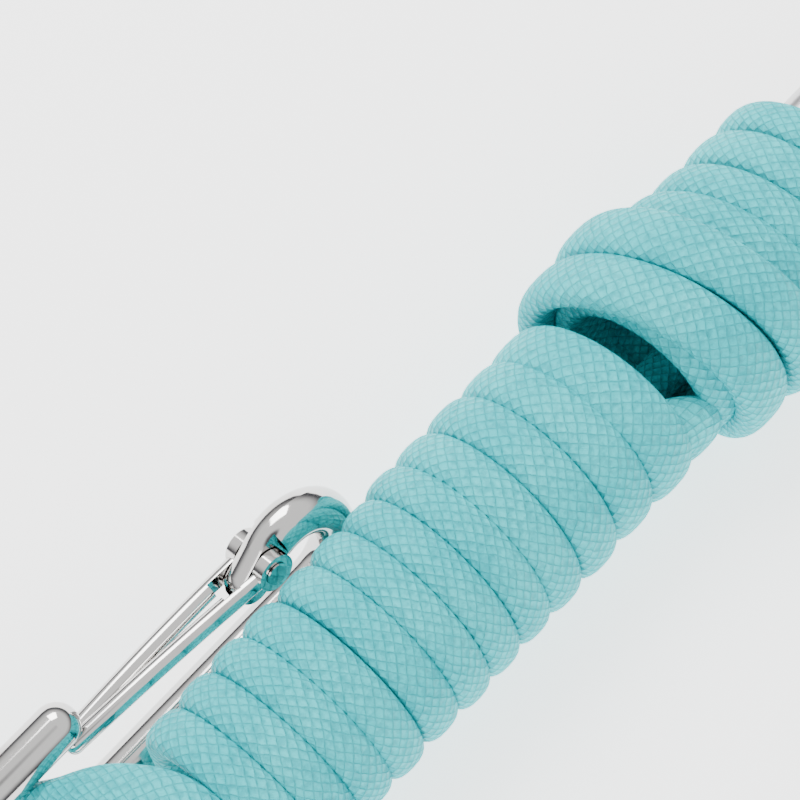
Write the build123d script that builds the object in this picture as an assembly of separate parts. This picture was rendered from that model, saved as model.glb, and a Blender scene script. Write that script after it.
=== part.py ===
"""Lead rope wound round itself into a hank, with its rod snap lying along one flank.

Frame: X runs along the hank, with the snap's hook at the -X end. +Y is the snap's side.
Z is up and the ground is z = 0. All sizes are in millimetres.
The snap is drawn in a plane of its own, with u along X, w up the plane and n square to it.
"""
from build123d import *
import math
import os

# Rope and hank
ROPE_WIDTH = 10.0
ROPE_THICKNESS = 7.2
WRAP_TURNS = 19.5
CORE_RADIUS = 15.2
AXIS_HEIGHT = 18.8
END_ROUND = 3.0
OVERRIDE_START = 25.0
OVERRIDE_END = 64.0
OVERRIDE_RISE = 4.8

# Snap rod, in its own plane
ROD_DIAMETER = 9.5
SNAP_LEAN_DEG = 19.5
SNAP_PLANE_Y = 28.7
SNAP_PLANE_Z = 24.8
NOSE_W = 6.5
NOSE_STRAIGHT = 16.0
HOOK_BEYOND_HANK = 14.5
HOOK_TO_BEND = 74.0
BEND_RADIUS = 10.4
BEND_END_DEG = 120.0
TONGUE_LENGTH = 7.0
TONGUE_THICKNESS = 5.0

# Gate, its pin and its spring
GATE_ROD_DIAMETER = 4.0
GATE_TIP_FROM_HOOK = 16.5
GATE_TIP_SPREAD = 1.0
GATE_BOW = 0.6
GATE_MID_SPREAD = 2.2
PIVOT_ALONG_TONGUE = 2.1
FORK_LENGTH = 11.0
LEG_ROOT = 2.5
EYE_DISC_DIAMETER = 8.4
EYE_DISC_THICKNESS = 2.5
PIN_DIAMETER = 3.9
PIN_HEAD_DIAMETER = 5.0
PIN_HEAD_THICKNESS = 0.35
SPRING_WIRE = 0.7
SPRING_TURNS = 2
SPRING_GAP = 0.15
SPRING_TAIL = 7.0
SPRING_SHORT_TAIL = 1.2

# Eye loop of the rope, its ferrule and the cap on the rope's tail
EYE_CORD_DIAMETER = 8.4
FERRULE_LENGTH = 8.0
FERRULE_WALL = 1.2
CAP_DIAMETER = 11.4
CAP_WALL = 1.1
CAP_SEAT = 9.5
CAP_LENGTH = 24.0
CAP_Y = 9.2
CAP_ABOVE_AXIS = 5.0
CAP_ROUND = 2.5
TAIL_REACH = 1.0

# Clearances
FLOOR_GAP = 0.02
LAY_CLEARANCE = 0.3
BEND_CLEARANCE = 1.2
GATE_REST_GAP = 0.25
CHEEK_CLEARANCE = 0.25
DISC_CLEARANCE = 0.3
PIN_CLEARANCE = 0.06
HEAD_CLEARANCE = 0.15
SPRING_CLEARANCE = 0.25
POCKET_CLEARANCE = 0.05
CRIMP = 0.05

# Worked out from the sizes above
HANK_HALF = ROPE_WIDTH * WRAP_TURNS / 2
HANK_RADIUS = CORE_RADIUS + ROPE_THICKNESS
CAP_START = HANK_HALF - CAP_SEAT
HOOK_CENTRE_U = -HANK_HALF - HOOK_BEYOND_HANK
BEND_CENTRE_U = HOOK_CENTRE_U + HOOK_TO_BEND
GATE_TIP_U = HOOK_CENTRE_U + GATE_TIP_FROM_HOOK
ROD_RADIUS = ROD_DIAMETER / 2
GATE_RADIUS = GATE_ROD_DIAMETER / 2
PIN_RADIUS = PIN_DIAMETER / 2
LEAN = math.radians(SNAP_LEAN_DEG)
SNAP_PLANE = Plane(
    origin=(0, SNAP_PLANE_Y, SNAP_PLANE_Z),
    x_dir=(1, 0, 0),
    z_dir=(0, -math.cos(LEAN), math.sin(LEAN)),
)
SPINE_W = (ROD_RADIUS + FLOOR_GAP - SNAP_PLANE_Z) / math.cos(LEAN)
HOOK_RADIUS = (NOSE_W - SPINE_W) / 2
HOOK_CENTRE_W = (NOSE_W + SPINE_W) / 2
BEND_CENTRE = Vector(BEND_CENTRE_U, SPINE_W + BEND_RADIUS)
TONGUE_DIRECTION = Vector(-1, 0).rotate(Axis.Z, BEND_END_DEG - 90)
TONGUE_START = BEND_CENTRE + Vector(BEND_RADIUS, 0).rotate(Axis.Z, BEND_END_DEG)
TONGUE_END = TONGUE_START + TONGUE_DIRECTION * TONGUE_LENGTH
PIVOT = TONGUE_START + TONGUE_DIRECTION * PIVOT_ALONG_TONGUE
CHEEK_INNER = TONGUE_THICKNESS / 2 + CHEEK_CLEARANCE
CHEEK_OUTER = CHEEK_INNER + EYE_DISC_THICKNESS
FLANK_END_U = BEND_CENTRE_U + BEND_RADIUS + ROD_RADIUS + BEND_CLEARANCE
FLANK_N = CHEEK_OUTER + HEAD_CLEARANCE + PIN_HEAD_THICKNESS + LAY_CLEARANCE
SHOULDER_U = PIVOT.X + EYE_DISC_DIAMETER / 2 + DISC_CLEARANCE
SLOT_END_U = PIVOT.X - FORK_LENGTH
SPRING_RADIUS = PIN_RADIUS + SPRING_CLEARANCE + SPRING_WIRE / 2
SPRING_PITCH = SPRING_WIRE + SPRING_GAP
SPRING_HEIGHT = SPRING_PITCH * SPRING_TURNS
SPRING_SLOT_HALF = (SPRING_HEIGHT + SPRING_WIRE) / 2 + 2 * SPRING_CLEARANCE
SPRING_SLOT_RADIUS = SPRING_RADIUS + SPRING_WIRE / 2 + 2 * SPRING_CLEARANCE

# Centre line of the eye loop: along X from the hank's near face, across Y, and height above
# the hank's axis.
SHORT_END = (6.0, -4.5)
EYE_ROUTE = [
    (FERRULE_LENGTH, *SHORT_END),
    (-7.5, *SHORT_END),
    (-21.0, 15.5, -1.0),
    (-37.6, 17.5, 2.1),
    (-37.6, 34.9, -4.1),
    (-19.2, 34.9, -4.1),
    (-9.5, 23.5, 6.0),
    (-3.5, 19.0, 11.5),
    (2.5, 12.0, 14.8),
]
RUN_SHARE = 0.45


def bar_along_x(radius, start, end, y, z):
    """Round bar parallel to X."""
    return Pos((start + end) / 2, y, z) * Rot(0, 90, 0) * Cylinder(radius, end - start)


def block(x_range, y_range, z_range):
    """Box between two limits on each axis."""
    limits = (x_range, y_range, z_range)
    middle = [(low + high) / 2 for low, high in limits]
    return Pos(*middle) * Box(*[high - low for low, high in limits])


def swept_rod(path, radius):
    """Round rod along a path."""
    section = Plane(origin=path @ 0, z_dir=path % 0) * Circle(radius)
    return sweep(section, path=path)


def snap_path():
    """Centre line of the snap's rod, from the tongue round the spine to the nose."""
    bend_side = BEND_CENTRE + Vector(BEND_RADIUS, 0)
    bend_bottom = BEND_CENTRE + Vector(0, -BEND_RADIUS)
    hook_bottom = Vector(HOOK_CENTRE_U, SPINE_W)
    hook_side = Vector(HOOK_CENTRE_U - HOOK_RADIUS, HOOK_CENTRE_W)
    hook_top = Vector(HOOK_CENTRE_U, NOSE_W)
    return Wire([
        Line(TONGUE_END, TONGUE_START),
        ThreePointArc(TONGUE_START, bend_side, bend_bottom),
        Line(bend_bottom, hook_bottom),
        ThreePointArc(hook_bottom, hook_side, hook_top),
        Line(hook_top, hook_top + Vector(NOSE_STRAIGHT, 0)),
    ])


def snap_rod():
    """The whole bent rod with its two rounded ends."""
    path = snap_path()
    rod = swept_rod(path, ROD_RADIUS)
    for end in (path @ 0, path @ 1):
        rod += Pos(*end) * Sphere(ROD_RADIUS)
    return rod


def tongue_cuts():
    """Flats on both sides of the tongue, and the slot and hole for the spring and pin."""
    reach = 3 * ROD_DIAMETER
    height = (PIVOT.Y - ROD_DIAMETER, PIVOT.Y + ROD_DIAMETER)
    half = TONGUE_THICKNESS / 2
    cuts = block((SHOULDER_U - reach, SHOULDER_U), height, (half, half + ROD_DIAMETER))
    cuts += mirror(cuts, Plane.XY)
    slot = Pos(PIVOT.X, PIVOT.Y) * Cylinder(SPRING_SLOT_RADIUS, 2 * SPRING_SLOT_HALF)
    channel_height = (PIVOT.Y - SPRING_SLOT_RADIUS, PIVOT.Y)
    channel_side = (-SPRING_SLOT_HALF, SPRING_SLOT_HALF)
    slot += block((PIVOT.X - reach, PIVOT.X), channel_height, channel_side)
    hole = Pos(PIVOT.X, PIVOT.Y) * Cylinder(PIN_RADIUS + PIN_CLEARANCE, 2 * ROD_DIAMETER)
    return cuts + slot + hole


def snap_body():
    """Rod of the snap: spine, hook, nose and the flattened tongue that the gate turns on."""
    return SNAP_PLANE * (snap_rod() - tongue_cuts())


def snap_gate():
    """Forked gate: two legs that meet at the tip, with an eye each on the pin."""
    tip_w = NOSE_W - ROD_RADIUS - GATE_RADIUS - GATE_REST_GAP
    root = Vector(PIVOT.X - LEG_ROOT, PIVOT.Y, CHEEK_OUTER - GATE_RADIUS)
    tip = Vector(GATE_TIP_U, tip_w, GATE_TIP_SPREAD)
    middle = Vector((tip.X + root.X) / 2, (tip.Y + root.Y) / 2 + GATE_BOW, GATE_MID_SPREAD)
    path = Wire([ThreePointArc(tip, middle, root)])
    leg = swept_rod(path, GATE_RADIUS)
    leg += Pos(*tip) * Sphere(GATE_RADIUS)
    leg += Pos(*root) * Sphere(GATE_RADIUS)
    disc = Pos(PIVOT.X, PIVOT.Y, (CHEEK_INNER + CHEEK_OUTER) / 2)
    leg += disc * Cylinder(EYE_DISC_DIAMETER / 2, EYE_DISC_THICKNESS)
    span = (GATE_TIP_U, PIVOT.X + EYE_DISC_DIAMETER)
    height = (PIVOT.Y - 2 * EYE_DISC_DIAMETER, PIVOT.Y + 2 * EYE_DISC_DIAMETER)
    leg -= block(span, height, (CHEEK_OUTER, CHEEK_OUTER + ROD_DIAMETER))
    leg -= block((SLOT_END_U, span[1]), height, (-CHEEK_INNER, CHEEK_INNER))
    leg -= Pos(PIVOT.X, PIVOT.Y) * Cylinder(PIN_RADIUS + PIN_CLEARANCE, 4 * CHEEK_OUTER)
    return SNAP_PLANE * (leg + mirror(leg, Plane.XY))


def gate_pivot_pin():
    """Rivet through the tongue and both eyes, with a head at each end."""
    head_start = CHEEK_OUTER + HEAD_CLEARANCE
    pin = Cylinder(PIN_RADIUS, 2 * head_start)
    head = Pos(0, 0, head_start + PIN_HEAD_THICKNESS / 2)
    for side in (head, head.inverse()):
        pin += side * Cylinder(PIN_HEAD_DIAMETER / 2, PIN_HEAD_THICKNESS)
    return SNAP_PLANE * (Pos(PIVOT.X, PIVOT.Y) * pin)


def gate_spring():
    """Torsion spring round the pin, in the tongue's slot, with a tail towards the gate."""
    coil = Rot(0, 0, -90) * Helix(SPRING_PITCH, SPRING_HEIGHT, SPRING_RADIUS)
    coil = Pos(0, 0, -SPRING_HEIGHT / 2) * coil
    gate_tail = Line(coil @ 0 - (coil % 0) * SPRING_TAIL, coil @ 0)
    body_tail = Line(coil @ 1, coil @ 1 + (coil % 1) * SPRING_SHORT_TAIL)
    path = Wire([gate_tail, *coil.edges(), body_tail])
    return SNAP_PLANE * (Pos(PIVOT.X, PIVOT.Y) * swept_rod(path, SPRING_WIRE / 2))


def eye_points():
    """Centre line of the eye loop, placed at the hank's near face and above the ground."""
    return [Vector(x - HANK_HALF, y, AXIS_HEIGHT + rise) for x, y, rise in EYE_ROUTE]


def eye_radii(points):
    """Bend radius at each inner point, as large as the two runs beside it allow."""
    radii = []
    for before, here, after in zip(points, points[1:], points[2:]):
        run_in = here - before
        run_out = after - here
        half_turn = math.radians(run_in.get_angle(run_out)) / 2
        shorter = min(run_in.length, run_out.length)
        radii.append(RUN_SHARE * shorter / math.tan(half_turn))
    return radii


def snap_eye_loop():
    """Loop of the rope's end that passes through the snap's hook."""
    points = eye_points()
    radii = eye_radii(points)
    path = Wire(FilletPolyline(*points, radius=radii).edges())
    loop = swept_rod(path, EYE_CORD_DIAMETER / 2)
    section = math.pi * EYE_CORD_DIAMETER ** 2 / 4
    print("eye loop radii:", [round(radius, 1) for radius in radii])
    print("eye loop length:", round(path.length, 1))
    print("eye loop volume over section x length:", round(loop.volume / section / path.length, 4))
    return loop


def short_end_bar(radius, length):
    """Bar on the rope's short end, from the hank's near face inwards."""
    y, rise = SHORT_END
    return bar_along_x(radius, -HANK_HALF, -HANK_HALF + length, y, AXIS_HEIGHT + rise)


def eye_ferrule():
    """Sleeve crimped on the rope's short end, inside the hank's near end."""
    sleeve = short_end_bar(EYE_CORD_DIAMETER / 2 + FERRULE_WALL, FERRULE_LENGTH)
    return sleeve - short_end_bar(EYE_CORD_DIAMETER / 2 - CRIMP, FERRULE_LENGTH)


def cap_bar(radius, start, end):
    """Bar on the tail's own centre line."""
    return bar_along_x(radius, start, end, CAP_Y, AXIS_HEIGHT + CAP_ABOVE_AXIS)


def tail_end_cap():
    """Metal end piece with a socket for the rope's tail and a rounded closed end."""
    cap = cap_bar(CAP_DIAMETER / 2, CAP_START, CAP_START + CAP_LENGTH)
    cap = fillet(cap.edges().group_by(Axis.X)[-1], CAP_ROUND)
    socket_end = HANK_HALF + POCKET_CLEARANCE
    return cap - cap_bar(CAP_DIAMETER / 2 - CAP_WALL, CAP_START, socket_end)


def rope_hank():
    """Closed solid of the wound rope, with its flat base and the seats of what lies in it."""
    hank = bar_along_x(HANK_RADIUS, -HANK_HALF, HANK_HALF, 0, AXIS_HEIGHT)
    hank = fillet(hank.edges().filter_by(GeomType.CIRCLE), END_ROUND)
    override_radius = HANK_RADIUS + OVERRIDE_RISE
    hank += bar_along_x(override_radius, OVERRIDE_START, OVERRIDE_END, 0, AXIS_HEIGHT)
    side = 2 * override_radius
    hank -= block((-HANK_HALF, HANK_HALF), (-side, side), (-side, 0))
    hank -= SNAP_PLANE * block((-2 * HANK_HALF, FLANK_END_U), (-side, side), (-side, FLANK_N))
    ferrule_radius = EYE_CORD_DIAMETER / 2 + FERRULE_WALL
    hank -= short_end_bar(ferrule_radius + POCKET_CLEARANCE, FERRULE_LENGTH)
    hank -= cap_bar(CAP_DIAMETER / 2 + POCKET_CLEARANCE, CAP_START, CAP_START + CAP_LENGTH)
    tail_radius = CAP_DIAMETER / 2 - CAP_WALL - POCKET_CLEARANCE
    return hank + cap_bar(tail_radius, CAP_START - TAIL_REACH, HANK_HALF)


def main():
    """Build each piece and write it under its node's name."""
    os.makedirs("parts", exist_ok=True)
    nodes = {
        "rope_hank": rope_hank(),
        "snap_eye_loop": snap_eye_loop(),
        "eye_ferrule": eye_ferrule(),
        "tail_end_cap": tail_end_cap(),
        "snap_body": snap_body(),
        "snap_gate": snap_gate(),
        "gate_pivot_pin": gate_pivot_pin(),
        "gate_spring": gate_spring(),
    }
    for name, shape in nodes.items():
        export_step(shape, f"parts/{name}.step")
    pivot = SNAP_PLANE.from_local_coords(PIVOT)
    print("gate pivot (mm):", [round(value, 3) for value in pivot])
    print("gate axis:", [round(value, 5) for value in SNAP_PLANE.z_dir])


if __name__ == "__main__":
    main()
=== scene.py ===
"""Looks of a lead rope that is wound into a hank beside its own rod snap.

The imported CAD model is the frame. The rope is one continuous flat braid: it starts in the eye's
ferrule, makes the eye round the snap's hook, is wound turn by turn into the hank, folds back
through the hank as its core, makes a few turns out of sight, and ends in a metal end piece.
The snap, its pin and spring, the ferrule and the end piece keep their CAD shapes and get their
finishes here. Lengths are in metres.
"""

import logging
import math
from dataclasses import dataclass, field
from enum import Enum
from typing import Any, Iterable, NamedTuple, Sequence, Union

import bpy
import numpy as np
from mathutils import Matrix, Vector


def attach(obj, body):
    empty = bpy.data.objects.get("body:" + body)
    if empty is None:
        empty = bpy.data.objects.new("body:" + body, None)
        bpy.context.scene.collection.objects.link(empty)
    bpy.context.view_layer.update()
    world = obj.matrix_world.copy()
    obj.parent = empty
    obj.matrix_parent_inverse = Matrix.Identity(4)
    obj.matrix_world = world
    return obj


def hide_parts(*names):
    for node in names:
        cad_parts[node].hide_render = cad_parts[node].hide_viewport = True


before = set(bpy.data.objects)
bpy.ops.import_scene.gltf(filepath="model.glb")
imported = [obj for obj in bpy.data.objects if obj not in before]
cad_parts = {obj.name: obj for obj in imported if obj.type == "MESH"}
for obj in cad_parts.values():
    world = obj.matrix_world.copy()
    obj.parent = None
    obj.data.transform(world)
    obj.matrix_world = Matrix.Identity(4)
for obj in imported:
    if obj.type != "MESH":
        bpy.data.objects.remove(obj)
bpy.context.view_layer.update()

MM = 0.001
ROOT_BODY = "rope_and_snap"
log = logging.getLogger("lead_rope")

Number = Union[int, float]
Colour = tuple[float, float, float, float]
Span = tuple[float, float]
WHITE: Colour = (1.0, 1.0, 1.0, 1.0)


class Slot(Enum):
    """Materials that the pieces wear."""

    ROPE = "rope"
    SNAP = "snap_metal"
    FERRULE = "ferrule_metal"
    SPRING = "spring_wire"


class Sock:
    """A shader socket that takes part in sums as a number does."""

    def __init__(self, tree: "Tree", socket: bpy.types.NodeSocket) -> None:
        """Keeps the socket and the tree it belongs to."""
        self.tree = tree
        self.socket = socket

    def maths(self, operation: str, *others: Union["Sock", Number]) -> "Sock":
        """Adds a Math node.

        Args:
            operation: the node's operation.
            others: the second and third inputs.

        Returns:
            The node's value.
        """
        return self.tree.maths(operation, self, *others)

    def __add__(self, other: Union["Sock", Number]) -> "Sock":
        """Sum."""
        return self.maths("ADD", other)

    def __radd__(self, other: Number) -> "Sock":
        """Sum with a plain number first."""
        return self.tree.maths("ADD", other, self)

    def __sub__(self, other: Union["Sock", Number]) -> "Sock":
        """Difference."""
        return self.maths("SUBTRACT", other)

    def __rsub__(self, other: Number) -> "Sock":
        """Difference from a plain number."""
        return self.tree.maths("SUBTRACT", other, self)

    def __mul__(self, other: Union["Sock", Number]) -> "Sock":
        """Product."""
        return self.maths("MULTIPLY", other)

    def __truediv__(self, other: Union["Sock", Number]) -> "Sock":
        """Quotient."""
        return self.maths("DIVIDE", other)

    def __pow__(self, other: Union["Sock", Number]) -> "Sock":
        """Power."""
        return self.maths("POWER", other)


class Tree:
    """Node tree of one material or of the world."""

    def __init__(self, owner: Any) -> None:
        """Turns nodes on and clears them."""
        owner.use_nodes = True
        self.nodes = owner.node_tree.nodes
        self.links = owner.node_tree.links
        self.nodes.clear()

    def node(self, kind: str, settings: dict[str, Any] | None = None, **inputs: Any) -> Any:
        """Adds one node.

        Args:
            kind: the node's type name.
            settings: attributes set before the inputs.
            inputs: value or Sock for each socket, spaces in its name given as underscores.

        Returns:
            The node.
        """
        made = self.nodes.new(kind)
        for name, value in (settings or {}).items():
            setattr(made, name, value)
        for name, value in inputs.items():
            self.fill(made.inputs[name.replace("_", " ")], value)
        return made

    def fill(self, socket: bpy.types.NodeSocket, value: Any) -> None:
        """Links a Sock to a socket, or sets a plain value on it."""
        if isinstance(value, Sock):
            self.links.new(value.socket, socket)
        else:
            socket.default_value = value

    def out(self, node: Any, name: str | int = 0) -> Sock:
        """One output of a node as a Sock."""
        return Sock(self, node.outputs[name])

    def maths(self, operation: str, *values: Union[Sock, Number]) -> Sock:
        """Adds a Math node on values and Socks."""
        made = self.nodes.new("ShaderNodeMath")
        made.operation = operation
        for socket, value in zip(made.inputs, values):
            self.fill(socket, value)
        return self.out(made)

    def mix(self, factor: Sock, low: Any, high: Any) -> Sock:
        """Mixes two colours.

        Args:
            factor: 0 gives low, 1 gives high.
            low: colour as a Sock or four numbers.
            high: colour as a Sock or four numbers.

        Returns:
            The mixed colour.
        """
        made = self.nodes.new("ShaderNodeMix")
        made.data_type = "RGBA"
        self.fill(made.inputs[0], factor)
        self.fill(made.inputs[6], low)
        self.fill(made.inputs[7], high)
        return self.out(made, 2)

    def noise(self, scale: float, detail: float) -> Sock:
        """Value of a noise texture on the object's own position, 0 to 1."""
        place = self.out(self.node("ShaderNodeTexCoord"), "Object")
        made = self.node("ShaderNodeTexNoise", Vector=place, Scale=scale, Detail=detail)
        return self.out(made, 0)

    def ramp(self, value: Sock, low: float, high: float) -> Sock:
        """Smooth step of a value from 0 at low to 1 at high."""
        made = self.node(
            "ShaderNodeMapRange",
            {"interpolation_type": "SMOOTHSTEP"},
            Value=value,
            From_Min=low,
            From_Max=high,
        )
        return self.out(made)

    def close(self, shader: Sock) -> None:
        """Links the shader to the material's surface."""
        self.node("ShaderNodeOutputMaterial", Surface=shader)


@dataclass(frozen=True)
class Braid:
    """Fabric of a flat braid: yarns of two families that cross over two and under two."""

    slot: Slot = Slot.ROPE
    pick: float = 2.6 * MM
    lean: float = 1.12
    wander: float = 0.42
    wander_scale: float = 420.0
    over_share: float = 0.25
    round_power: float = 0.75
    end_power: float = 0.5
    plies: int = 7
    ply_relief: float = 0.035
    fibre_relief: float = 0.10
    fibre_scale: float = 3200.0
    relief: float = 0.45 * MM
    relief_strength: float = 0.9
    light: Colour = (0.004, 0.600, 0.650, 1.0)
    faded: Colour = (0.030, 0.700, 0.740, 1.0)
    # dark colour used for painted shade in the grooves between yarns and for the yarns' own
    # darker specks
    painted_shade_and_speck_colour: Colour = (0.001, 0.220, 0.270, 1.0)
    patch_scale: float = 55.0
    patch_span: Span = (0.35, 0.70)
    speckle_scale: float = 640.0
    speckle_span: Span = (0.42, 0.66)
    speckle_shade: float = 0.34
    groove_span: Span = (0.50, 0.05)
    # how strongly painted shade darkens the grooves between yarns
    groove_painted_shade: float = 0.45
    roughness: float = 0.50
    groove_roughness: float = 0.25
    specular: float = 0.25

    def make(self) -> bpy.types.Material:
        """Makes the material, which reads the rope's own map of length and girth."""
        material = bpy.data.materials.new(self.slot.value)
        tree = Tree(material)
        lump, relief = self.yarns(tree)
        # groove mask: drives the painted shade in the dye and the rougher grooves
        groove = tree.ramp(lump, *self.groove_span)
        bump = tree.node(
            "ShaderNodeBump",
            Strength=self.relief_strength,
            Distance=self.relief,
            Height=relief,
        )
        shader = tree.node(
            "ShaderNodeBsdfPrincipled",
            Base_Color=self.dye(tree, groove),
            Roughness=self.roughness + groove * self.groove_roughness,
            Specular_IOR_Level=self.specular,
            Normal=tree.out(bump),
        )
        tree.close(tree.out(shader))
        return material

    def yarns(self, tree: Tree) -> tuple[Sock, Sock]:
        """The two families of yarns.

        Args:
            tree: the material's tree.

        Returns:
            Height of the yarn on top, and the same with its plies and fibres.
        """
        lay = tree.node("ShaderNodeUVMap", {"uv_map": "braid"})
        parts = tree.node("ShaderNodeSeparateXYZ", Vector=tree.out(lay))
        along = tree.out(parts, 0)
        round_it = tree.out(parts, 1)
        wander = (tree.noise(self.wander_scale, 2.0) - 0.5) * self.wander
        first = (along + round_it * self.lean) / self.pick + wander
        second = (along - round_it * self.lean) / self.pick - wander
        cells = first.maths("FLOOR") + second.maths("FLOOR")
        over = (cells / 2.0).maths("FRACT").maths("LESS_THAN", self.over_share)
        in_first = first.maths("FRACT")
        in_second = second.maths("FRACT")
        lump = self.lump(in_second, in_first) * over
        lump = lump + self.lump(in_first, in_second) * (1.0 - over)
        plies = (in_second * over + in_first * (1.0 - over)) * (2 * math.pi * self.plies)
        fibre = (tree.noise(self.fibre_scale, 2.0) - 0.5) * self.fibre_relief
        return lump, lump + plies.maths("SINE") * self.ply_relief + fibre

    def lump(self, across: Sock, along: Sock) -> Sock:
        """Height of a yarn where it lies on top.

        Args:
            across: share of the way across the yarn.
            along: share of the way along the stretch that lies on top.

        Returns:
            Height from 0 at the stretch's rim to 1 at its middle.
        """
        round_back = (across * math.pi).maths("SINE") ** self.round_power
        ends = (along * math.pi).maths("SINE") ** self.end_power
        return round_back * ends

    def dye(self, tree: Tree, groove: Sock) -> Sock:
        """Colour of the yarns: faded in patches, with painted shade in the grooves and darker in
        small specks.
        """
        patch = tree.ramp(tree.noise(self.patch_scale, 3.0), *self.patch_span)
        body = tree.mix(patch, self.light, self.faded)
        speckle = tree.ramp(tree.noise(self.speckle_scale, 2.0), *self.speckle_span)
        # the stronger of the painted groove shade and the yarns' real dark specks
        painted_shade_and_speck = (groove * self.groove_painted_shade).maths("MAXIMUM", speckle * self.speckle_shade)
        return tree.mix(painted_shade_and_speck, body, self.painted_shade_and_speck_colour)


@dataclass(frozen=True)
class Metal:
    """Bare metal with fine polishing marks and a little tarnish."""

    slot: Slot
    colour: Colour
    tarnish: Colour
    roughness: float
    marks: float
    marks_depth: float = 0.04 * MM
    cloud_scale: float = 90.0
    fine_scale: float = 1400.0
    stain_span: Span = (0.52, 0.75)
    stain_share: float = 0.6
    fine_roughness: float = 0.05
    stain_roughness: float = 0.06

    def make(self) -> bpy.types.Material:
        """Makes the material."""
        material = bpy.data.materials.new(self.slot.value)
        tree = Tree(material)
        cloud = tree.noise(self.cloud_scale, 4.0)
        fine = tree.noise(self.fine_scale, 3.0)
        stain = tree.ramp(cloud, *self.stain_span)
        bump = tree.node(
            "ShaderNodeBump",
            Strength=self.marks,
            Distance=self.marks_depth,
            Height=fine * 0.5 + cloud * 0.5,
        )
        roughness = self.roughness + fine * self.fine_roughness + stain * self.stain_roughness
        shader = tree.node(
            "ShaderNodeBsdfPrincipled",
            Base_Color=tree.mix(stain * self.stain_share, self.colour, self.tarnish),
            Metallic=1.0,
            Roughness=roughness,
            Normal=tree.out(bump),
        )
        tree.close(tree.out(shader))
        return material


POLISHED = Metal(
    slot=Slot.SNAP,
    colour=(0.58, 0.57, 0.56, 1.0),
    tarnish=(0.40, 0.38, 0.36, 1.0),
    roughness=0.07,
    marks=0.05,
)
SATIN = Metal(
    slot=Slot.FERRULE,
    colour=(0.56, 0.56, 0.57, 1.0),
    tarnish=(0.36, 0.35, 0.34, 1.0),
    roughness=0.26,
    marks=0.25,
)
WIRE = Metal(
    slot=Slot.SPRING,
    colour=(0.43, 0.43, 0.44, 1.0),
    tarnish=(0.26, 0.25, 0.25, 1.0),
    roughness=0.22,
    marks=0.20,
)


class Turn(NamedTuple):
    """One turn of the hank, in millimetres.

    place: where it lies along the hank, at the snap's side.
    lean: how far it leans along the hank by the far side.
    proud: how far it stands above its neighbours.
    trim: change of its radius, from how tight it was pulled.
    """

    place: float
    lean: float
    proud: float
    trim: float


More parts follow.
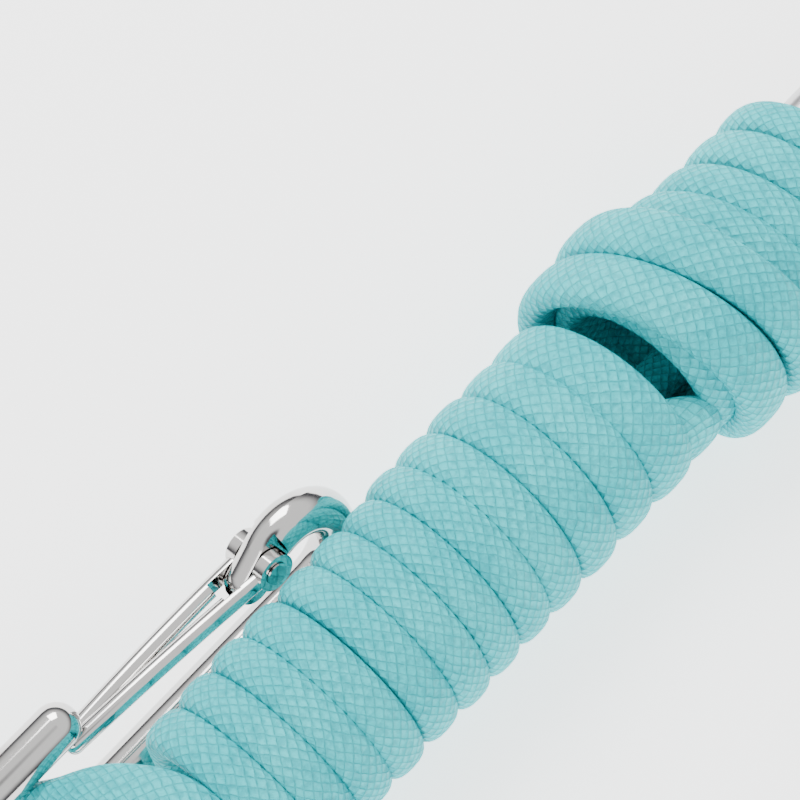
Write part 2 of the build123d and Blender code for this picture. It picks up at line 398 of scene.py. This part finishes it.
@dataclass
class Rope:
    """The rope: one flat braid, from the eye's ferrule to the tail's end piece."""

    width: float = 10.0 * MM
    thickness: float = 7.2 * MM
    eye_diameter: float = 8.4 * MM
    eye_flatness: float = 0.92
    length: float = 3.05
    core_radius: float = 15.7 * MM
    axis_height: float = 18.8 * MM
    ground_gap: float = 0.05 * MM
    points_per_turn: int = 16
    steps_per_point: int = 7
    ring: int = 24
    squareness: float = 2.6
    bulge: float = 0.7
    turn_fit: float = 1.04
    turn_width: Span = (0.9, 1.26)
    snap_place: Span = (28.7 * MM, 24.8 * MM)
    snap_lean: float = math.radians(19.5)
    snap_side: float = 6.05 * MM
    snap_end: float = -21.6 * MM
    hook_place: tuple[float, float, float] = (-125.9, 26.2, -1.0)
    eye_limit: float = -100.0 * MM
    eye_facing: Span = (-98.0 * MM, -8.0 * MM)
    eye_swell: Span = (-94.0 * MM, -12.0 * MM)
    flat_from_eye: Span = (-106.0 * MM, 12.0 * MM)
    flat_to_tail: Span = (94.0 * MM, -8.0 * MM)
    soften_from: Span = (-92.0 * MM, 10.0 * MM)
    turning_span: Span = (0.6, 0.3)
    eye: list[tuple[float, float, float]] = field(default_factory=lambda: [
        (-89.5, 6.0, -4.5),
        (-105.0, 6.0, -4.5),
        (-118.5, 15.5, -1.0),
        (-135.1, 17.5, 2.1),
        (-135.1, 34.9, -4.1),
        (-116.7, 34.9, -4.1),
        (-107.0, 23.5, 6.0),
        (-101.0, 19.0, 11.5),
        (-95.0, 12.0, 14.8),
    ])
    core: list[tuple[float, float, float]] = field(default_factory=lambda: [
        (95.0, -8.0, -9.0),
        (88.0, -6.0, -5.0),
        (74.0, -5.0, -5.0),
        (50.0, -4.0, -5.5),
        (26.0, -3.0, -6.0),
        (2.0, -3.0, -6.5),
        (-22.0, -3.0, -7.0),
        (-46.0, -4.0, -7.0),
        (-68.0, -6.0, -6.0),
        (-82.0, -7.0, -3.0),
        (-87.0, -7.0, 2.0),
        (-80.0, -6.0, 6.5),
        (-64.0, -4.0, 7.0),
        (-40.0, -2.0, 7.0),
        (-16.0, -1.0, 7.0),
        (4.0, -3.0, 7.5),
        (18.0, -8.0, 8.0),
    ])
    tail: list[tuple[float, float, float]] = field(default_factory=lambda: [
        (58.0, 10.0, -6.0),
        (68.0, 9.0, 2.0),
        (78.0, 9.2, 4.6),
        (88.0, 9.2, 5.0),
        (96.5, 9.2, 5.0),
    ])
    turns: tuple[Turn, ...] = (
        Turn(-91.8, 1.6, 0.0, -2.6),
        Turn(-82.0, 1.4, 0.0, -1.9),
        Turn(-72.8, 1.2, 0.0, -1.4),
        Turn(-63.8, 1.0, 0.0, -0.7),
        Turn(-54.8, 0.6, 0.0, -0.4),
        Turn(-44.8, 0.4, 0.0, -0.5),
        Turn(-35.6, 0.2, 0.0, 0.0),
        Turn(-26.6, 0.0, 0.0, -0.1),
        Turn(-17.6, 0.0, 0.0, -0.1),
        Turn(-8.6, 0.0, 0.0, 0.0),
        Turn(1.4, 0.2, 0.0, 0.2),
        Turn(11.6, 1.0, 0.0, 0.0),
        Turn(21.2, 3.0, 0.0, 0.1),
        Turn(35.8, 13.0, 5.2, 0.0),
        Turn(48.4, 13.0, 6.4, 0.0),
        Turn(60.4, 9.0, 1.5, 0.0),
        Turn(70.6, 6.5, 0.4, 0.0),
        Turn(81.8, 4.0, 0.1, 0.0),
        Turn(92.0, 2.0, 0.0, 0.0),
    )
    turns_end: Span = (80.0, 230.0)
    hidden_turns: tuple[Turn, ...] = (
        Turn(31.0, 4.0, 0.0, -0.5),
        Turn(41.0, 3.0, 0.0, -1.0),
        Turn(51.0, 3.0, 0.0, -1.2),
    )
    hidden_end: Span = (150.0, 300.0)

    def local(self, points: Iterable[Sequence[float]]) -> list[Vector]:
        """Listed points, in millimetres about the hank's axis, as places in metres."""
        lift = Vector((0.0, 0.0, self.axis_height))
        return [Vector(point) * MM + lift for point in points]

    def turn_point(self, x: float, angle: float, rise: float) -> Vector:
        """One point of a wound turn.

        Args:
            x: place along the hank.
            angle: radians from +Y towards +Z.
            rise: how far the turn stands above the hank's usual radius.

        Returns:
            The control point, pressed flat against the ground and the snap.
        """
        # The smooth curve runs inside its control points, by a share that their spacing sets.
        inside = (3 + math.cos(2 * math.pi / self.points_per_turn)) / 4
        radius = (self.core_radius + self.thickness / 2 + rise) / inside
        lowest = self.thickness / 2 - self.axis_height + 2 * self.ground_gap
        z = max(radius * math.sin(angle), lowest) + self.axis_height
        point = Vector((x, radius * math.cos(angle), z))
        if x < self.snap_end:
            square = Vector((0.0, -math.cos(self.snap_lean), math.sin(self.snap_lean)))
            depth = (point - Vector((0.0, *self.snap_place))).dot(square)
            short = self.snap_side + self.thickness / 2 - depth
            point += square * max(0.0, short)
        return point

    def wound(self, turns: Sequence[Turn], start: float, end: float) -> list[Vector]:
        """Turns wound one after another: nearly square over the top, stepping along below.

        Args:
            turns: the turns, in order along the hank.
            start: angle of the first point, in degrees from +Y towards +Z.
            end: angle of the last point, on the last turn.

        Returns:
            Control points in order.
        """
        step = 360.0 / self.points_per_turn
        last = 360.0 * (len(turns) - 1) + end
        points = []
        for degrees in np.arange(start, last + 0.5 * step, step):
            index = int(degrees // 360.0)
            angle = degrees - 360.0 * index
            here = turns[min(index, len(turns) - 1)]
            after = turns[min(index + 1, len(turns) - 1)]
            over = eased(min(angle, 180.0) / 180.0)
            below = eased(max(0.0, angle - 180.0) / 180.0)
            x = here.place + here.lean * over + (after.place - here.place - here.lean) * below
            x += self.bulge * max(0.0, math.sin(math.radians(angle)))
            change = after.proud + after.trim - here.proud - here.trim
            rise = here.proud + here.trim + change * below
            points.append(self.turn_point(x * MM, math.radians(angle), rise * MM))
        return points

    def route(self) -> list[Vector]:
        """Control points of the whole rope, from the ferrule to the end piece."""
        return [
            *self.local(self.eye),
            *self.wound(self.turns, *self.turns_end),
            *self.local(self.core),
            *self.wound(self.hidden_turns, *self.hidden_end),
            *self.local(self.tail),
        ]

    def centre_line(self) -> np.ndarray:
        """Points read from the smooth curve through the route, softened on the hank."""
        points = self.route()
        curve = bpy.data.curves.new("rope_route", "CURVE")
        curve.dimensions = "3D"
        curve.resolution_u = self.steps_per_point
        spline = curve.splines.new("NURBS")
        spline.points.add(len(points) - 1)
        for control, point in zip(spline.points, points):
            control.co = (*point, 1.0)
        spline.order_u = 3
        spline.use_endpoint_u = True
        holder = bpy.data.objects.new("rope_route", curve)
        mesh = bpy.data.meshes.new_from_object(holder)
        line = np.array([vertex.co[:] for vertex in mesh.vertices])
        bpy.data.objects.remove(holder)
        bpy.data.curves.remove(curve)
        bpy.data.meshes.remove(mesh)
        on_hank = fade(line[:, :1], *self.soften_from)
        for _ in range(3):
            line += (smoothed(line, 4) - line) * on_hank
        return line

    def outward(self, line: np.ndarray, tangents: np.ndarray) -> np.ndarray:
        """Direction that the braid's broad face looks in at each point.

        Args:
            line: the centre line.
            tangents: its unit tangents.

        Returns:
            Unit vectors square to the tangents.
        """
        from_axis = line - np.array([0.0, 0.0, self.axis_height])
        from_axis[:, 0] = 0.0
        from_hook = line - np.array(self.local([self.hook_place])[0])
        in_eye = fade(line[:, 0], *self.eye_facing)[:, None]
        away = unit(from_axis) * (1 - in_eye) + unit(from_hook) * in_eye
        turning = np.cross(tangents, np.array([1.0, 0.0, 0.0]))
        turning *= np.sign((turning * away).sum(1))[:, None]
        on_turn = fade(np.linalg.norm(turning, axis=1), *self.turning_span)
        on_turn *= line[:, 0] > self.eye_limit
        away = away * (1 - on_turn[:, None]) + unit(turning) * on_turn[:, None]
        for _ in range(3):
            away = smoothed(away, 4)
            away -= tangents * (away * tangents).sum(1)[:, None]
            away = unit(away)
        return away

    def half_widths(self, line: np.ndarray) -> np.ndarray:
        """Half the braid's width: narrow and round in the eye, flat and filling on the hank."""
        flat = fade(line[:, 0], *self.flat_from_eye) * fade(line[:, 0], *self.flat_to_tail)
        half = self.eye_diameter / 2 * (1 - flat) + self.width / 2 * flat
        places = np.array([turn.place + turn.lean / 2 for turn in self.turns]) * MM
        wanted = np.interp(line[:, 0], places, np.gradient(places)) / 2 * self.turn_fit
        least, most = (share * self.width / 2 for share in self.turn_width)
        room = np.clip(wanted, least, most)
        on_top = np.hypot(line[:, 1], line[:, 2] - self.axis_height) > self.core_radius
        seen = on_top & (flat > 0.99)
        return smoothed(np.where(seen, room, half)[:, None], 6)[:, 0]

    def half_thicknesses(self, line: np.ndarray) -> np.ndarray:
        """Half the braid's thickness at each point: full in the eye, flat on the hank."""
        in_eye = fade(line[:, 0], *self.eye_swell)
        round_half = self.eye_diameter / 2 * self.eye_flatness
        return self.thickness / 2 * (1 - in_eye) + round_half * in_eye

    def section(self) -> tuple[np.ndarray, np.ndarray]:
        """The braid's section, a rounded oblong, as shares of its half width and thickness."""
        angles = np.linspace(0.0, 2 * math.pi, self.ring, endpoint=False)
        power = 2.0 / self.squareness
        side = np.sign(np.cos(angles)) * np.abs(np.cos(angles)) ** power
        up = np.sign(np.sin(angles)) * np.abs(np.sin(angles)) ** power
        return side, up

    def build(self) -> bpy.types.Object:
        """Sweeps the braid's section along its centre line."""
        line = self.centre_line()
        tangents = unit(np.gradient(line, axis=0))
        away = self.outward(line, tangents)
        across = np.cross(tangents, away)
        side, up = self.section()
        reach_across = self.half_widths(line)[:, None] * side
        reach_away = self.half_thicknesses(line)[:, None] * up
        rings = (
            line[:, None, :]
            + across[:, None, :] * reach_across[:, :, None]
            + away[:, None, :] * reach_away[:, :, None]
        )
        rings[:, :, 2] = np.maximum(rings[:, :, 2], self.ground_gap)
        obj = self.skin(rings, line)
        obj.data.materials.append(Braid().make())
        self.declare(obj, line)
        return obj

    def declare(self, obj: bpy.types.Object, line: np.ndarray) -> None:
        """Logs the rope's drawn length, hides the CAD pieces that it replaces and hangs it on the
        root body.

        Args:
            obj: the rope.
            line: its centre line.
        """
        drawn = float(np.linalg.norm(np.diff(line, axis=0), axis=1).sum())
        log.info("rope: %.3f m drawn, %d turns seen", drawn, len(self.turns))
        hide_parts("rope_hank", "snap_eye_loop")
        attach(obj, ROOT_BODY)

    def skin(self, rings: np.ndarray, line: np.ndarray) -> bpy.types.Object:
        """Joins the rings into a closed tube.

        Args:
            rings: section points at each step along the rope.
            line: the centre line.

        Returns:
            The rope's object.
        """
        count, ring = rings.shape[:2]
        faces = []
        for low in range(0, (count - 1) * ring, ring):
            for corner in range(ring):
                here = low + corner
                beside = low + (corner + 1) % ring
                faces.append((here, beside, beside + ring, here + ring))
        faces.append(tuple(reversed(range(ring))))
        faces.append(tuple(range((count - 1) * ring, count * ring)))
        mesh = bpy.data.meshes.new("rope")
        mesh.from_pydata(rings.reshape(-1, 3).tolist(), [], faces)
        self.lay_out(mesh, line)
        mesh.shade_smooth()
        obj = bpy.data.objects.new("rope", mesh)
        bpy.context.scene.collection.objects.link(obj)
        return obj

    def lay_out(self, mesh: bpy.types.Mesh, line: np.ndarray) -> None:
        """Gives the tube its map of length and girth, in metres.

        Args:
            mesh: the tube.
            line: the centre line.
        """
        side, up = self.section()
        outline = np.stack([side * self.width / 2, up * self.thickness / 2], axis=1)
        along = run_lengths(line)
        girth = run_lengths(np.vstack([outline, outline[:1]]))
        coords = np.zeros((len(mesh.loops), 2))
        at = 0
        for here, after in zip(along, along[1:]):
            for low, high in zip(girth, girth[1:]):
                coords[at:at + 4] = ((here, low), (here, high), (after, high), (after, low))
                at += 4
        mesh.uv_layers.new(name="braid").data.foreach_set("uv", coords.ravel())


def eased(share: float) -> float:
    """Share from 0 to 1 that starts and ends gently."""
    return share * share * (3 - 2 * share)


def fade(values: np.ndarray, start: float, span: float) -> np.ndarray:
    """Share that rises from 0 at start to 1 one span further on.

    Args:
        values: places.
        start: place where the rise begins.
        span: length of the rise, negative where it rises towards lower values.

    Returns:
        Shares from 0 to 1.
    """
    return np.clip((values - start) / span, 0.0, 1.0)


def unit(vectors: np.ndarray) -> np.ndarray:
    """Each row at length 1."""
    return vectors / np.maximum(np.linalg.norm(vectors, axis=1, keepdims=True), 1e-12)


def run_lengths(points: np.ndarray) -> np.ndarray:
    """Length run from the first point to each point."""
    return np.concatenate([[0.0], np.cumsum(np.linalg.norm(np.diff(points, axis=0), axis=1))])


def smoothed(rows: np.ndarray, reach: int) -> np.ndarray:
    """Moving average of rows.

    Args:
        rows: values, one row for each step.
        reach: steps taken in on each side.

    Returns:
        The averaged rows.
    """
    padded = np.vstack([np.repeat(rows[:1], reach, 0), rows, np.repeat(rows[-1:], reach, 0)])
    sums = np.cumsum(np.vstack([np.zeros((1, rows.shape[1])), padded]), axis=0)
    window = 2 * reach + 1
    return (sums[window:] - sums[:-window]) / window


@dataclass
class Hardware:
    """The snap, its pin and spring, the ferrule and the end piece, in their CAD shapes."""

    finishes: dict[str, Metal] = field(default_factory=lambda: {
        "snap_body": POLISHED,
        "snap_gate": POLISHED,
        "gate_pivot_pin": POLISHED,
        "eye_ferrule": SATIN,
        "tail_end_cap": SATIN,
        "gate_spring": WIRE,
    })

    def dress(self) -> None:
        """Gives each CAD node its finish, one material for each kind."""
        made: dict[Slot, bpy.types.Material] = {}
        for node, finish in self.finishes.items():
            if finish.slot not in made:
                made[finish.slot] = finish.make()
            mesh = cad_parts[node].data
            mesh.materials.clear()
            mesh.materials.append(made[finish.slot])
            log.info("%s: %s", node, finish.slot.value)


@dataclass(frozen=True)
class Lamp:
    """Square soft lamp: its name, place, side and power in watts."""

    name: str
    place: tuple[float, float, float]
    size: float
    power: float

    def hang(self, aim: Vector) -> None:
        """Hangs the lamp in its place, turned towards aim."""
        data = bpy.data.lights.new(self.name, "AREA")
        data.size = self.size
        data.energy = self.power
        obj = bpy.data.objects.new(self.name, data)
        turn = (aim - Vector(self.place)).to_track_quat("-Z", "Y").to_matrix().to_4x4()
        obj.matrix_world = Matrix.Translation(self.place) @ turn
        bpy.context.scene.collection.objects.link(obj)


@dataclass
class Studio:
    """Pale glowing floor, soft lamps, pale surroundings and the camera."""

    look_at: Vector = field(default_factory=lambda: Vector((-2.5, 29.1, 25.6)) * MM)
    towards: Vector = field(default_factory=lambda: Vector((-0.266, -0.240, 0.934)))
    right: Vector = field(default_factory=lambda: Vector((0.669, -0.743, 0.0)))
    distance: float = 0.446
    roll: float = math.radians(0.5)
    lens: float = 100.0
    sensor: float = 36.0
    near_limit: float = 0.01
    floor_half: float = 3.0
    floor_colour: Colour = (0.93, 0.93, 0.93, 1.0)
    floor_roughness: float = 0.7
    floor_glow: float = 1.8
    sky_strength: float = 1.4
    sky_span: Span = (0.10, 0.55)
    horizon: Colour = (0.10, 0.10, 0.11, 1.0)
    hood_span: Span = (0.93, 0.975)
    hood_colour: Colour = (0.12, 0.12, 0.13, 1.0)
    lamps: tuple[Lamp, ...] = (
        Lamp("key", (0.25, 0.55, 0.75), 0.5, 9.0),
        Lamp("fill", (-0.7, -0.35, 0.6), 0.6, 4.0),
    )

    def floor(self) -> None:
        """Large pale floor that glows a little."""
        mesh = bpy.data.meshes.new("floor")
        half = self.floor_half
        corners = [(-half, -half, 0.0), (half, -half, 0.0), (half, half, 0.0), (-half, half, 0.0)]
        mesh.from_pydata(corners, [], [(0, 1, 2, 3)])
        material = bpy.data.materials.new("studio_floor")
        tree = Tree(material)
        shader = tree.node(
            "ShaderNodeBsdfPrincipled",
            Base_Color=self.floor_colour,
            Roughness=self.floor_roughness,
            Emission_Color=WHITE,
            Emission_Strength=self.floor_glow,
        )
        tree.close(tree.out(shader))
        mesh.materials.append(material)
        obj = bpy.data.objects.new("studio_floor", mesh)
        bpy.context.scene.collection.objects.link(obj)

    def world(self) -> None:
        """Pale surroundings, darker at the horizon and behind the camera, to shape the metal."""
        world = bpy.data.worlds.new("studio")
        bpy.context.scene.world = world
        tree = Tree(world)
        direction = tree.out(tree.node("ShaderNodeTexCoord"), "Generated")
        height = tree.out(tree.node("ShaderNodeSeparateXYZ", Vector=direction), 2)
        colour = tree.mix(tree.ramp(height, *self.sky_span), self.horizon, WHITE)
        towards = tree.node("ShaderNodeVectorMath", {"operation": "DOT_PRODUCT"})
        tree.fill(towards.inputs[0], direction)
        tree.fill(towards.inputs[1], self.towards.normalized())
        hood = tree.ramp(tree.out(towards, "Value"), *self.hood_span)
        colour = tree.mix(hood, colour, self.hood_colour)
        backdrop = tree.node("ShaderNodeBackground", Color=colour, Strength=self.sky_strength)
        tree.node("ShaderNodeOutputWorld", Surface=tree.out(backdrop))

    def camera(self) -> None:
        """Camera above the hank, looking down along the near end."""
        data = bpy.data.cameras.new("camera")
        data.lens = self.lens
        data.sensor_width = self.sensor
        data.clip_start = self.near_limit
        obj = bpy.data.objects.new("camera", data)
        back = self.towards.normalized()
        level = self.right.normalized()
        right = level * math.cos(self.roll) + back.cross(level) * math.sin(self.roll)
        up = back.cross(right)
        turn = Matrix((right, up, back)).transposed().to_4x4()
        obj.matrix_world = Matrix.Translation(self.look_at + back * self.distance) @ turn
        bpy.context.scene.collection.objects.link(obj)
        bpy.context.scene.camera = obj

    def build(self) -> None:
        """Makes the whole set."""
        self.floor()
        self.world()
        for lamp in self.lamps:
            lamp.hang(self.look_at)
        self.camera()
        log.info("studio: floor, world, %d lamps and the camera", len(self.lamps))


def main() -> None:
    """Builds the studio, the rope and the hardware's finishes."""
    logging.basicConfig(level=logging.INFO, format="%(message)s")
    Studio().build()
    Rope().build()
    Hardware().dress()


if __name__ == "__main__":
    main()
